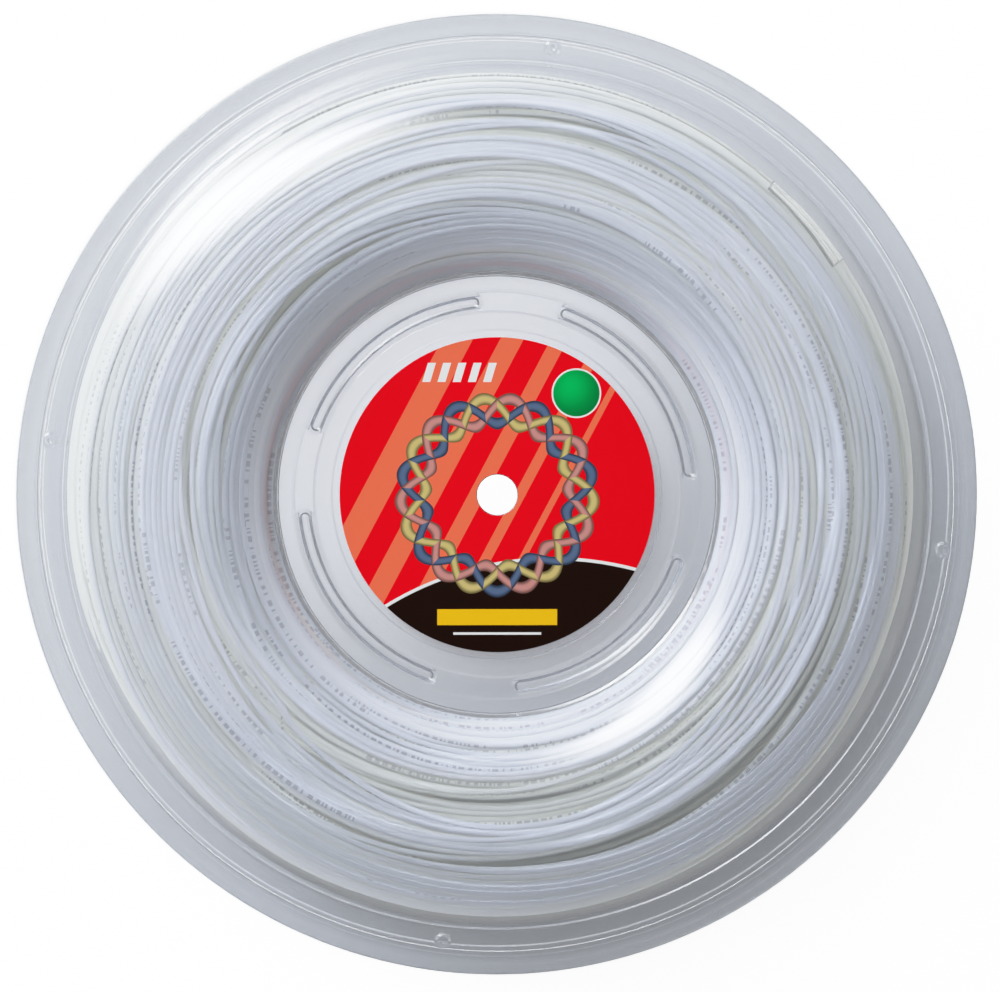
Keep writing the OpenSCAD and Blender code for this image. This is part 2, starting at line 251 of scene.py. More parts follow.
class Section:
    """The section of a moulded half. Radii are from the axis and heights from the joint plane."""

    def __init__(self, s):
        self.s = s
        self.drum_r = s.hub_r + s.wall
        self.lip_in = REEL_R - s.lip_w
        self.lip_h = s.land_h - s.lip_drop
        self.bead_r = self.lip_in - s.land_w - s.bead_w / 2
        self.foot_r = self.bead_r - s.bead_w / 2 - s.bead_gap
        self.pip_r = self.lip_in - s.land_w / 2
        self.inner_r = self.shoulder(s.crown_in - s.hub_r, CROWN_H - s.floor_h)
        self.outer_r = self.shoulder(self.foot_r - s.crown_out, CROWN_H - s.land_h)
        self.pocket_out = s.hub_r - s.pocket_margin
        self.pocket_in = self.pocket_out - s.pocket_w
        self.pocket_mid = (self.pocket_in + self.pocket_out) / 2
        web = math.asin((s.web_w + s.pocket_w) / 2 / self.pocket_mid)
        self.pocket_half = math.pi / s.pockets - web
        self.pip_angles = [s.web_turn + 2 * math.pi * k / s.pockets for k in range(s.pockets)]
        self.pocket_angles = [a + math.pi / s.pockets for a in self.pip_angles]

    @staticmethod
    def shoulder(run, fall):
        """Radius of an arc that leaves the crown level and falls by fall over run."""
        return (run * run + fall * fall) / (2 * fall)

    def ceiling(self, r, inset):
        """Greatest height of a point at the radius r that stays inset away from the inside of a dome."""
        s = self.s
        inner, outer = self.inner_r - s.wall - inset, self.outer_r - s.wall - inset
        run_in, run_out = np.maximum(s.crown_in - r, 0), np.maximum(r - s.crown_out, 0)
        rise_in = np.sqrt(np.maximum(inner ** 2 - run_in ** 2, 0))
        rise_out = np.sqrt(np.maximum(outer ** 2 - run_out ** 2, 0))
        return np.minimum(CROWN_H - self.inner_r + rise_in, CROWN_H - self.outer_r + rise_out)

    def outline(self, joint):
        """Closed outline of a half, from the bore over its face to the edge and back along its inside."""
        s, fillet = self.s, FILLET
        in_mid, out_mid = (s.crown_in, CROWN_H - self.inner_r), (s.crown_out, CROWN_H - self.outer_r)
        quarter = math.pi / 2
        foot_in = math.acos((s.crown_in - s.hub_r) / self.inner_r)
        foot_out = math.acos((self.foot_r - s.crown_out) / self.outer_r)
        inner, outer = self.inner_r - s.wall, self.outer_r - s.wall
        drum_top = math.acos((s.crown_in - self.drum_r) / inner)
        land_under = s.land_h - s.wall
        mouth = math.asin((land_under - out_mid[1]) / outer)
        edge_mid = (REEL_R - s.wall / 2, self.lip_h - s.wall / 2)
        recess = s.floor_h - s.recess_depth
        pocket_end = self.pocket_out + POCKET_EDGE + POCKET_ROW / 2
        pip_reach = s.pip_d / 2 + PIP_EDGE
        line = [(s.bore_r, JOINT_GAP, fillet["joint"]), (s.bore_r, recess, fillet["bore"]),
                (s.recess_r, recess, fillet["joint"])]
        line += [(s.recess_r + RECESS_DRAFT, s.floor_h, fillet["recess"])]
        line += [(r, s.floor_h) for r in np.arange(self.pocket_in - POCKET_EDGE, pocket_end, POCKET_ROW)]
        line += [(s.hub_r, s.floor_h, fillet["hub"])]
        line += arc(in_mid, self.inner_r, math.pi - foot_in, quarter, ARC_STEPS["outside"])[1:]
        line += arc(out_mid, self.outer_r, quarter, foot_out, ARC_STEPS["outside"])[:-1]
        line += [(self.foot_r, s.land_h, fillet["foot"])]
        bead = [(self.bead_r + s.bead_w * (t - 0.5), s.land_h + s.bead_h * math.sin(math.pi * t) ** 2)
                for t in np.linspace(0, 1, ARC_STEPS["bead"] + 1)]
        line += [(bead[0][0] - BEAD_MARGIN, s.land_h)] + bead + [(bead[-1][0] + BEAD_MARGIN, s.land_h)]
        line += [(r, s.land_h) for r in np.arange(self.pip_r - pip_reach, self.pip_r + pip_reach, PIP_ROW)]
        line += [(self.lip_in, s.land_h, fillet["lip"]), (self.lip_in, self.lip_h, fillet["lip"])]
        line += arc(edge_mid, s.wall / 2, quarter, -quarter, ARC_STEPS["edge"])
        line += [(self.lip_in - s.wall, h, fillet["inside"]) for h in (self.lip_h - s.wall, land_under)]
        line += arc(out_mid, outer, mouth, quarter, ARC_STEPS["inside"])
        line += arc(in_mid, inner, quarter, math.pi - drum_top, ARC_STEPS["inside"])
        line += [(r, h, fillet["joint"]) for r, h in [(self.drum_r, JOINT_GAP)] + joint]
        return rounded(line)

    def relief(self, r, angle):
        """Height that the pockets and ring step take from the hub floor and the pips add to the land."""
        s = self.s
        off = np.abs(r - self.pocket_mid) - s.pocket_w / 2
        change = -RING_DEPTH * smoothstep(0.5 - off / RING_EDGE) + 0 * angle
        for middle in self.pocket_angles:
            a = (angle - middle + math.pi) % (2 * math.pi) - math.pi
            past = np.maximum(np.abs(a) - self.pocket_half, 0)
            end = np.hypot(r * np.cos(past) - self.pocket_mid, r * np.sin(past))
            outside = np.where(past > 0, end, np.abs(r - self.pocket_mid)) - s.pocket_w / 2
            inward = np.clip(0.5 - outside / POCKET_EDGE, 0, 1) ** 2 * POCKET_EDGE / 2
            inward = np.where(outside < -POCKET_EDGE / 2, -outside, inward) / (s.pocket_w / 2)
            change = np.minimum(change, -s.pocket_depth * (1 - (1 - inward) ** 2))
        for middle in self.pip_angles:
            x, y = r * np.cos(angle - middle) - self.pip_r, r * np.sin(angle - middle)
            away = np.hypot(x, y)
            front = np.cos(angle - middle) > 0
            pip = smoothstep(0.5 - (away - s.pip_d / 2) / PIP_EDGE)
            dimple = DIMPLE_SHARE * smoothstep(0.5 - (away - s.dimple_d / 2) / PIP_EDGE)
            seam = SEAM["share"] * np.exp(-(y / SEAM["width"]) ** 2) * (r > self.foot_r)
            change = change + front * s.pip_h * (np.maximum(pip, seam) - dimple)
        return change

    def angles(self):
        """Angles round the reel, finer past the pockets' ends and across the pips."""
        s = self.s
        base = np.arange(0, 360, TURN_STEP)
        ends = [m + side * (self.pocket_half + s.pocket_w / 4 / self.pocket_mid)
                for m in self.pocket_angles for side in (-1, 1)]
        zones = [(math.degrees(a) % 360, *POCKET_END_ZONE) for a in ends]
        zones += [(math.degrees(a) % 360, *PIP_ZONE) for a in self.pip_angles]
        fine = [np.arange(-reach, reach + TINY, step) + centre for centre, reach, step in zones]
        for centre, reach, step in zones:
            away = np.abs((base - centre + 180) % 360 - 180)
            base = base[away > reach + step]
        every = np.sort(np.concatenate([base] + fine) % 360)
        return np.radians(every[np.diff(every, prepend=-1) > 1e-4])


# ---------- node tools

class Nodes:
    """A node tree, with short calls for its nodes."""

    def __init__(self, tree):
        self.tree = tree

    def node(self, kind, inputs=(), **settings):
        made = self.tree.nodes.new("ShaderNode" + kind)
        for key, value in settings.items():
            setattr(made, key, value)
        for key, value in dict(inputs).items():
            self.put(value, made.inputs[key])
        return made

    def put(self, value, socket):
        if isinstance(value, bpy.types.NodeSocket):
            self.tree.links.new(value, socket)
        else:
            socket.default_value = value

    def math(self, operation, a, b=0.0, c=0.0):
        return self.node("Math", {0: a, 1: b, 2: c}, operation=operation).outputs[0]

    def every(self, mask, *others):
        """Mask that is full where all the masks are full."""
        for other in others:
            mask = self.math("MULTIPLY", mask, other)
        return mask

    def mix(self, factor, a, b, kind="RGBA"):
        made = self.node("Mix", {0: factor}, data_type=kind)
        first, result = {"RGBA": (6, 2), "VECTOR": (4, 1)}[kind]
        self.put(a, made.inputs[first])
        self.put(b, made.inputs[first + 1])
        return made.outputs[result]

    def spread(self, value, low, high, to_low=0.0, to_high=1.0):
        """Ease from one number to another while the value runs from low to high."""
        return self.node("MapRange", {0: value, 1: low, 2: high, 3: to_low, 4: to_high},
                         interpolation_type="SMOOTHSTEP").outputs[0]

    def weigh(self, x, by_x, y, by_y):
        """Sum of two numbers, each by its own weight."""
        return self.math("MULTIPLY_ADD", x, by_x, self.math("MULTIPLY", y, by_y))

    def radius(self, x, y):
        """Distance from the middle of a plane."""
        return self.math("SQRT", self.weigh(x, x, y, y))

    def cycle(self, value, size):
        """Share of the way through each whole size of the value."""
        return self.math("FRACT", self.math("DIVIDE", value, size))

    def speckle(self, value, size):
        """A random number for each whole size of the value."""
        step = self.math("FLOOR", self.math("DIVIDE", value, size))
        return self.node("TexWhiteNoise", {"W": step}, noise_dimensions="1D").outputs["Value"]

    def group(self, build, **values):
        """Place the node group of a build function, which is built once, with its own values."""
        tree = bpy.data.node_groups.get(build.__name__)
        if tree is None:
            tree = bpy.data.node_groups.new(build.__name__, "ShaderNodeTree")
            for key in values:
                tree.interface.new_socket(key, in_out="INPUT", socket_type="NodeSocketFloat")
            tree.interface.new_socket("Result", in_out="OUTPUT", socket_type="NodeSocketFloat")
            result = build(Nodes(tree), tree.nodes.new("NodeGroupInput").outputs)
            tree.links.new(result, tree.nodes.new("NodeGroupOutput").inputs["Result"])
        return self.node("Group", values, node_tree=tree).outputs["Result"]


class Shader(Nodes):
    """A material under construction."""

    def __init__(self, name):
        self.material = bpy.data.materials.new(name)
        self.material.use_nodes = True
        super().__init__(self.material.node_tree)
        self.tree.nodes.clear()

    def finish(self, surface):
        """Show the surface and give back the material."""
        self.node("OutputMaterial", {"Surface": surface.outputs[0]})
        return self.material


def solid(rgb, share=1.0):
    """A colour for a socket, darker or brighter by the share."""
    return (*[share * v for v in rgb], 1.0)


# ---------- node groups

def uneven_surface(m, given):
    """Height of a fine uneven surface: ripples in plastic, creases in tape, paper fibre and floor mottle."""
    return m.node("TexNoise", {"Vector": m.node("TexCoord").outputs["Object"], "Scale": given["Scale"],
                               "Detail": given["Detail"]}).outputs["Fac"]


def printed_face(m, given):
    """Mask of the face that a label is printed on, which looks up (Side 1) or down (Side -1)."""
    up = m.node("SeparateXYZ", {0: m.node("NewGeometry").outputs["Normal"]}).outputs[2]
    return m.math("GREATER_THAN", m.math("MULTIPLY", up, given["Side"]), 0.5)


# ---------- materials

def let_light_through(m, surface, tint, rays=("Is Diffuse Ray", "Is Shadow Ray")):
    """Finish with a surface through which lamps and bounced light still reach what is inside."""
    path = m.node("LightPath")
    through = m.node("BsdfTransparent", {"Color": solid(tint)})
    for ray in rays:
        surface = m.node("MixShader", {0: path.outputs[ray], 1: surface.outputs[0], 2: through.outputs[0]})
    return m.finish(surface)


def clear_plastic(c):
    """Clear moulded plastic with slow flow ripples."""
    m = Shader("clear_plastic")
    flow = m.group(uneven_surface, Scale=55.0, Detail=2.0)
    ripple = m.node("Bump", {"Strength": 0.05, "Distance": 0.4 * MM, "Height": flow})
    plastic = m.node("BsdfPrincipled", {"Base Color": solid(c.plastic), "Roughness": 0.05, "IOR": 1.5,
                                        "Transmission Weight": 0.9, "Normal": ripple.outputs[0]})
    return let_light_through(m, plastic, c.plastic)


def strip_material(c):
    """Thin clear tape, a little cloudy and creased."""
    m = Shader("clear_strip")
    folds = m.group(uneven_surface, Scale=420.0, Detail=3.0)
    crease = m.node("Bump", {"Strength": 0.15, "Distance": 0.1 * MM, "Height": folds})
    film = m.node("BsdfPrincipled", {"Base Color": solid(c.tape), "Roughness": 0.15, "IOR": 1.45,
                                     "Transmission Weight": 0.93, "Normal": crease.outputs[0]})
    return let_light_through(m, film, c.tape)


# Print along the string: repeated runs of words of letters of ticks, some bare. It turns once in a twist.
PRINT = {"repeat": 0.31, "start": 0.12, "end": 0.42, "tick": 0.5 * MM, "bare_ticks": 0.35, "letter": 2.1 * MM,
         "letter_share": 0.72, "word": 8.4 * MM, "bare_words": 0.15, "strength": 0.66, "side": (0.50, 0.62),
         "twist": 3.1}
# Slow changes of tone along the string, and the depths over which it turns to the painted shade of strands
# deep in the winding
TONE = {"length": 0.35, "between": (0.35, 0.65), "darker": 0.90, "depths": (1.3 * MM, 4.5 * MM)}
# Share of the way that the string's shading leans to the dome over it, and the steepest lean
PACK_SHADE = 0.9
STEEPEST_LEAN = 0.85


def string_material(c):
    """Milky nylon string with runs of small grey marks printed along it, and painted shade on strands deep
    under the dome.
    """
    m = Shader("nylon_string")
    along, facing, depth = (m.node("Attribute", attribute_name=key).outputs["Fac"]
                            for key in ("along", "print_side", "depth"))
    place = m.cycle(along, PRINT["repeat"])
    mark = m.every(m.math("GREATER_THAN", place, PRINT["start"]), m.math("LESS_THAN", place, PRINT["end"]),
                   m.math("GREATER_THAN", m.speckle(along, PRINT["tick"]), PRINT["bare_ticks"]),
                   m.math("GREATER_THAN", m.speckle(along, PRINT["word"]), PRINT["bare_words"]),
                   m.math("LESS_THAN", m.cycle(along, PRINT["letter"]), PRINT["letter_share"]),
                   m.spread(facing, *PRINT["side"]), PRINT["strength"])
    tone = m.node("TexNoise", {"W": m.math("DIVIDE", along, TONE["length"]), "Scale": 1.0, "Detail": 1.0},
                  noise_dimensions="1D").outputs["Fac"]
    base = m.mix(m.spread(tone, *TONE["between"]), solid(c.string, TONE["darker"]), solid(c.string))
    # Painted shade: the colour darkens with depth under the dome, where shade falls between the strands
    base = m.mix(m.spread(depth, *TONE["depths"]), base, solid(c.deep_string_shade))
    base = m.mix(mark, base, solid(c.print_grey))
    strand = m.node("NewGeometry").outputs["Normal"]
    pack = m.node("Attribute", attribute_name="pack_normal").outputs["Vector"]
    blend = m.mix(PACK_SHADE, strand, pack, "VECTOR")
    soft = m.node("VectorMath", {0: blend}, operation="NORMALIZE").outputs[0]
    nylon = m.node("BsdfPrincipled", {"Base Color": base, "Roughness": 0.55, "IOR": 1.5,
                                      "Specular IOR Level": 0.25, "Normal": soft,
                                      "Subsurface Weight": 1.0, "Subsurface Scale": 1.2 * MM,
                                      "Subsurface Radius": (1.0, 1.0, 1.0)}, subsurface_method="BURLEY")
    return let_light_through(m, nylon, c.string_depth, ["Is Shadow Ray"])


# The labels' artwork in millimetres from the reel's axis. Bands are (middle, half width), rectangles (left,
# right, low, high) and rings (inner radius, outer radius).
BAND_SLANT = 62
BANDS = ((27, 3.4), (15, 2.6), (4.5, 1.9), (-5, 1.3), (-13, 0.8))
BOW = {"x": 14, "y": -96, "r": 80, "line": 0.4}
BRAID = {"middle": 21, "swing": 3.2, "waves": 7, "half": 1.5, "lit": 0.2, "edge": 0.25}
BALL = {"x": 19.8, "y": 25.4, "r": 5.8, "rim": 0.4}
SHINE = {"x": 18.2, "y": 27.2, "fade": (8, 0.5), "gain": 2.2}
BARS = {"lean": 0.3, "start": -30, "half_pitch": 1.9, "half": 1, "across": (-28.6, -9.2), "up": (28.2, 33)}
PLATE = (-15, 15, -32.6, -28.6)
RULE = (-11, 11, -35, -34.4)
REAR_RINGS = ((32, 36), (30.2, 31.2), (8.2, 8.8))


class Artwork(Shader):
    """A label's print under construction, from flat shapes. A mask is full inside its shape."""

    SOFT = 0.05

    def __init__(self, name, ground):
        super().__init__(name)
        self.base = solid(ground)
        place = {0: self.node("TexCoord").outputs["Object"], 3: 1 / MM}
        place = self.node("VectorMath", place, operation="SCALE").outputs[0]
        self.x, self.y = self.node("SeparateXYZ", {0: place}).outputs[:2]
        self.away = self.distance(0, 0)
        self.turn = self.math("ARCTAN2", self.y, self.x)

    def distance(self, x, y):
        """Distance from a point of the label."""
        return self.radius(self.math("SUBTRACT", self.x, x), self.math("SUBTRACT", self.y, y))

    def slanted(self, degrees):
        """Distance across bands that lie at an angle to +X."""
        a = math.radians(degrees)
        return self.weigh(self.x, -math.sin(a), self.y, math.cos(a))

    def within(self, value, limit):
        """Mask of where the value is under the limit."""
        return self.spread(value, limit + self.SOFT, limit - self.SOFT)

    def between(self, value, low, high):
        """Mask of where the value lies between two limits."""
        return self.math("SUBTRACT", self.within(value, high), self.within(value, low))

    def rectangle(self, left, right, low, high):
        """Mask of an upright rectangle."""
        return self.every(self.between(self.x, left, right), self.between(self.y, low, high))

    def lay(self, mask, ink):
        """Print a colour over what is there."""
        self.base = self.mix(mask, self.base, ink)

    def braid(self, colours):
        """Print a ring of strands that cross over and under each other."""
        half = BRAID["half"]
        top = -2.0
        for k, rgb in enumerate(colours):
            phase = self.math("MULTIPLY_ADD", self.turn, BRAID["waves"], 2 * math.pi * k / len(colours))
            line = self.math("MULTIPLY_ADD", self.math("SINE", phase), BRAID["swing"], BRAID["middle"])
            off = self.math("ABSOLUTE", self.math("SUBTRACT", self.away, line))
            height = self.math("COSINE", self.math("MULTIPLY", phase, 2.0))
            cover = self.every(self.within(off, half), self.math("GREATER_THAN", height, top))
            round_shade = self.spread(off, half, BRAID["lit"] * half)
            self.lay(cover, self.mix(round_shade, solid(rgb, BRAID["edge"]), solid(rgb)))
            top = self.math("MULTIPLY_ADD", cover, self.math("SUBTRACT", height, top), top)

    def printed(self, paper, side):
        """Finish as matt paper, printed on the face that looks up (side 1) or down (side -1)."""
        face = self.group(printed_face, Side=side)
        fibre = self.group(uneven_surface, Scale=900.0, Detail=3.0)
        bump = self.node("Bump", {"Strength": 0.08, "Distance": 0.05 * MM, "Height": fibre})
        sheet = {"Base Color": self.mix(face, solid(paper), self.base), "Specular IOR Level": 0.06,
                 "Roughness": self.spread(fibre, 0.2, 0.8, 0.42, 0.5), "Normal": bump.outputs[0]}
        return self.finish(self.node("BsdfPrincipled", sheet))


def front_label_material(c):
    """Slanted bands on red, a dark field under a bowed line, a braid, a ball and a few plain marks."""
    art = Artwork("front_label_print", c.red)
    across = art.slanted(BAND_SLANT)
    for middle, half in BANDS:
        art.lay(art.between(across, middle - half, middle + half), solid(c.coral))
    bow = art.distance(BOW["x"], BOW["y"])
    art.lay(art.within(bow, BOW["r"]), solid(c.black))
    art.lay(art.between(bow, BOW["r"] - BOW["line"], BOW["r"] + BOW["line"]), solid(c.white))
    art.braid((c.steel, c.cream, c.pink))
    ball = art.distance(BALL["x"], BALL["y"])
    shine = art.spread(art.distance(SHINE["x"], SHINE["y"]), *SHINE["fade"])
    art.lay(art.within(ball, BALL["r"] + BALL["rim"]), solid(c.white))
    art.lay(art.within(ball, BALL["r"]), art.mix(shine, solid(c.green), solid(c.green, SHINE["gain"])))
    lean = art.weigh(art.x, 1.0, art.y, -BARS["lean"])
    bar = art.math("PINGPONG", art.math("SUBTRACT", lean, BARS["start"]), BARS["half_pitch"])
    art.lay(art.every(art.within(bar, BARS["half"]), art.between(lean, *BARS["across"]),
                      art.between(art.y, *BARS["up"])), solid(c.white))
    art.lay(art.rectangle(*PLATE), solid(c.amber))
    art.lay(art.rectangle(*RULE), solid(c.white))
    return art.printed(c.white, 1)


def rear_label_material(c):
    """White paper with plain rings."""
    art = Artwork("rear_label_print", c.white)
    for ring, ink in zip(REAR_RINGS, (c.red, c.black, c.black)):
        art.lay(art.between(art.away, *ring), solid(ink))
    return art.printed(c.white, -1)


# The floor glows outside the reel, washing out the reel's cast shadow, and in its bore as a painted pool of
# light. Under the hub it is darker and glows as painted light, which runs from dim to bright along its way
# towards the key lamp, each given as its strength at the rim and in the middle.
GROUND_GLOW = 1.3
GROUND_FADE = (REEL_R - 1 * MM, REEL_R + 3 * MM)
BORE_FADE = (7 * MM, 6 * MM)
HUB_FADE = (64 * MM, 57 * MM)
HUB_GLOW = {"middle": (50 * MM, 44 * MM), "dim": (0.35, 0.46), "bright": (0.95, 0.85),
            "way": (-0.6, 0.8), "lean": (-28 * MM, 48 * MM)}
MOTTLE_SHADE = 0.985


def floor_material(c):
    """Pale floor that glows round the reel, and more softly under its clear hub as painted light brighter
    towards the key lamp.
    """
    m = Shader("studio_floor")
    mottle = m.spread(m.group(uneven_surface, Scale=3.0, Detail=3.0), 0.3, 0.7)
    base = m.mix(mottle, solid(c.floor), solid(c.floor, MOTTLE_SHADE))
    x, y = m.node("SeparateXYZ", {0: m.node("TexCoord").outputs["Object"]}).outputs[:2]
    away = m.radius(x, y)
    hub = m.spread(away, *HUB_FADE)
    # Painted light: the glow under the hub leans brighter along the way towards the key lamp
    lean = m.weigh(x, HUB_GLOW["way"][0], y, HUB_GLOW["way"][1])
    dim, bright = (m.spread(away, *HUB_GLOW["middle"], *HUB_GLOW[key]) for key in ("dim", "bright"))
    # The glow in the bore is a painted pool of light; outside the reel the glow washes out the reel's cast
    # shadow
    outside = m.math("ADD", m.spread(away, *BORE_FADE), m.spread(away, *GROUND_FADE, 0.0, GROUND_GLOW))
    glow = m.math("MULTIPLY_ADD", m.spread(lean, *HUB_GLOW["lean"], dim, bright), hub, outside)
    light = m.mix(hub, solid((1, 1, 1)), solid(c.hub_light))
    base = m.mix(hub, base, solid(c.hub_floor))
    return m.finish(m.node("BsdfPrincipled", {"Base Color": base, "Roughness": 0.7, "Emission Color": light,
                                              "Emission Strength": glow}))


# ---------- string

def bell(reach, spread):
    """Weights of a bell curve over reach steps to each side, which add up to 1."""
    weights = np.exp(-(np.arange(-reach, reach + 1) / spread) ** 2)
    return weights / weights.sum()


# The stiff string is evened out over this many steps to each side
STIFF_REACH = 19
STIFFNESS = bell(STIFF_REACH, 8.0)
LEAST_TURN_R = 50 * MM
MEAN_TURN_R = 80.5 * MM
# Loose stretches: their length in turns, their share, their standoff, and its fall towards the free end
LOOSE = {"stretch": (0.12, 0.35), "share": 0.02, "standoff": (0.3, 1.0), "end_fall": 4, "end_least": 0.15}
# How the strand is pulled to its guide and held by what it lies on
STRAND = {"cell": 0.1 * MM, "rows": 400, "tries": 13, "slip": 0.14 * MM, "to_guide": 0.25, "to_stay": 0.6,
          "play": 0.5 * MM, "tighten": 60}
# The guide hurries where the strand lies high, turns back at a share of the way to the dome and waits there,
# longer over a hollow. At the tail it goes to the strip. Waits are in turns and the tail in metres.
GUIDE = {"hurry": 0.3, "slowest": 0.25, "fastest": 6, "turn_share": (0.4, 1.0), "hollow": 0.2 * MM,
         "long_wait": (0.3, 1.2), "wait": 0.1, "tail": 0.8}
# The winding's level is measured clear of its edges, and lies this share of a strand's radius over the mean
LEVEL = {"edge": 1.0 * MM, "over": 0.6}


def looseness(s, rng):
    """Standoff of the string at each step, nought but for smooth stretches that are laid loosely."""
    turns = math.ceil(s.wound / (2 * math.pi * LEAST_TURN_R))
    knots = np.cumsum(rng.uniform(*LOOSE["stretch"], size=int(turns / LOOSE["stretch"][0])))
    standoff = rng.uniform(*LOOSE["standoff"], len(knots)) * (rng.random(len(knots)) < LOOSE["share"])
    place = np.arange(turns * s.steps) / s.steps
    after = np.searchsorted(knots, place).clip(1, len(knots) - 1)
    ease = smoothstep((place - knots[after - 1]) / (knots[after] - knots[after - 1]))
    share_wound = place * 2 * math.pi * MEAN_TURN_R / s.wound
    tight_end = np.clip(LOOSE["end_fall"] * (1 - share_wound), LOOSE["end_least"], 1)
    return s.loose * tight_end * ((1 - ease) * standoff[after - 1] + ease * standoff[after])


def wind(section, s, tail_z):
    """Wind the string turn by turn and return each point's radius, height and angle, and the wound surface.

    The surface is a table of radii over angle and height. A guide moves to and fro across the reel, and the
    strand slips into hollows beside it, rests on what lies below and is drawn straight between its rests.
    """
    rng = np.random.default_rng(s.seed)
    turn_step = 2 * math.pi / s.steps
    strand_r = s.strand_d / 2
    contact_r = strand_r + s.slack / 2
    inset = strand_r + s.clearance
    cell, slip, play = STRAND["cell"], STRAND["slip"], STRAND["play"]
    cells = 2 * int(CROWN_H / cell) + 1
    heights = (np.arange(cells) - (cells - 1) / 2) * cell
    radii = np.linspace(section.drum_r, section.s.crown_in, STRAND["rows"])
    ground = np.interp(np.abs(heights), section.ceiling(radii, 0), radii, right=2 * REEL_R)
    surface = np.tile(ground, (s.steps, 1))
    reach = int(contact_r / cell)
    across = np.arange(-reach, reach + 1)
    bulge = np.sqrt(contact_r ** 2 - (across * cell) ** 2)
    tries = np.linspace(-s.wander, s.wander, STRAND["tries"])
    chunk, ahead = s.steps // 2, s.steps // 6

    def column(z):
        return np.clip(np.rint((z - heights[0]) / cell).astype(int), reach, cells - 1 - reach)

    def limit(r):
        return float(section.ceiling(r, inset))

    def settle(values, past):
        """Even out a stretch of the route, which the string is too stiff to follow closely."""
        whole = np.concatenate([past, values, np.full(STIFF_REACH, values[-1])])
        return np.convolve(whole, STIFFNESS, "same")[len(past):len(past) + len(values)]

    all_r, all_z = [], []
    done, laid = 0, 0.0
    loose = looseness(s, rng)
    z, guide, way, pitch, wait, share = 0.0, 0.0, 1.0, rng.uniform(s.slow_pitch, s.fast_pitch), 0, 1.0
    level = section.drum_r + strand_r
    past_r, past_z = np.full(STIFF_REACH, level), np.zeros(STIFF_REACH)
    while laid < s.wound:
        edge = limit(level)
        rest_z, rest_r = np.empty(chunk + ahead), np.empty(chunk + ahead)
        here = float(past_r[-1])
        for j in range(chunk + ahead):
            if j == chunk:
                kept = guide, way, pitch, wait, share, rng.bit_generator.state
            if wait > 0:
                wait -= 1
            else:
                hurry = math.exp(GUIDE["hurry"] * (here - level) / MM)
                guide += way * pitch * min(max(hurry, GUIDE["slowest"]), GUIDE["fastest"]) / s.steps
                if laid > s.wound - GUIDE["tail"]:
                    guide = tail_z
                if guide * way > edge * share:
                    guide, way, share = way * edge * share, -way, rng.uniform(*GUIDE["turn_share"])
                    pitch = rng.uniform(s.slow_pitch, s.fast_pitch)
                    hollow = here < level - GUIDE["hollow"]
                    wait = int((rng.uniform(*GUIDE["long_wait"]) if hollow else GUIDE["wait"]) * s.steps)
            under = surface[(done + j) % s.steps]
            options = np.clip(z + tries, -edge - play, edge + play)
            lies = (under[column(options)[:, None] + across] + bulge).max(1)
            to_guide = STRAND["to_guide"] * ((options - guide) / MM) ** 2
            best = int(np.argmin(lies / MM + to_guide + STRAND["to_stay"] * ((options - z) / MM) ** 2))
            z += min(max(options[best] - z, -slip), slip)
            z = min(max(z, -limit(lies[best])), limit(lies[best]))
            here = float((under[column(z) + across] + bulge).max())
            rest_z[j], rest_r[j] = z, here
        low = np.concatenate([[past_r[-1]], rest_r])
        taut = low.copy()
        for _ in range(STRAND["tighten"]):
            taut[1:-1] = np.maximum(low[1:-1], (taut[:-2] + taut[2:]) / 2 * math.cos(turn_step))
        taut[1:chunk + 1] += loose[done:done + chunk]
        r = settle(taut[1:], past_r)[:chunk]
        top = section.ceiling(r, inset)
        zs = np.clip(settle(rest_z, past_z)[:chunk], -top, top)
        rows, columns = (done + np.arange(chunk)) % s.steps, column(zs)
        for o, b in zip(across, bulge):
            surface[rows, columns + o] = np.maximum(surface[rows, columns + o], r + b)
        all_r.append(r)
        all_z.append(zs)
        laid += float(r.sum() * turn_step)
        done += chunk
        guide, way, pitch, wait, share, state = kept
        rng.bit_generator.state = state
        past_r = np.concatenate([past_r, r])[-STIFF_REACH:]
        past_z = np.concatenate([past_z, zs])[-STIFF_REACH:]
        z = float(zs[-1])
        middle = np.abs(heights) < max(LEVEL["edge"], limit(level) - LEVEL["edge"])
        level = float(surface[:, middle].mean()) + LEVEL["over"] * strand_r
    angle = s.tail_turn + turn_step * (np.arange(done) - (done - 1))
    return np.concatenate(all_r), np.concatenate(all_z), angle, surface, heights


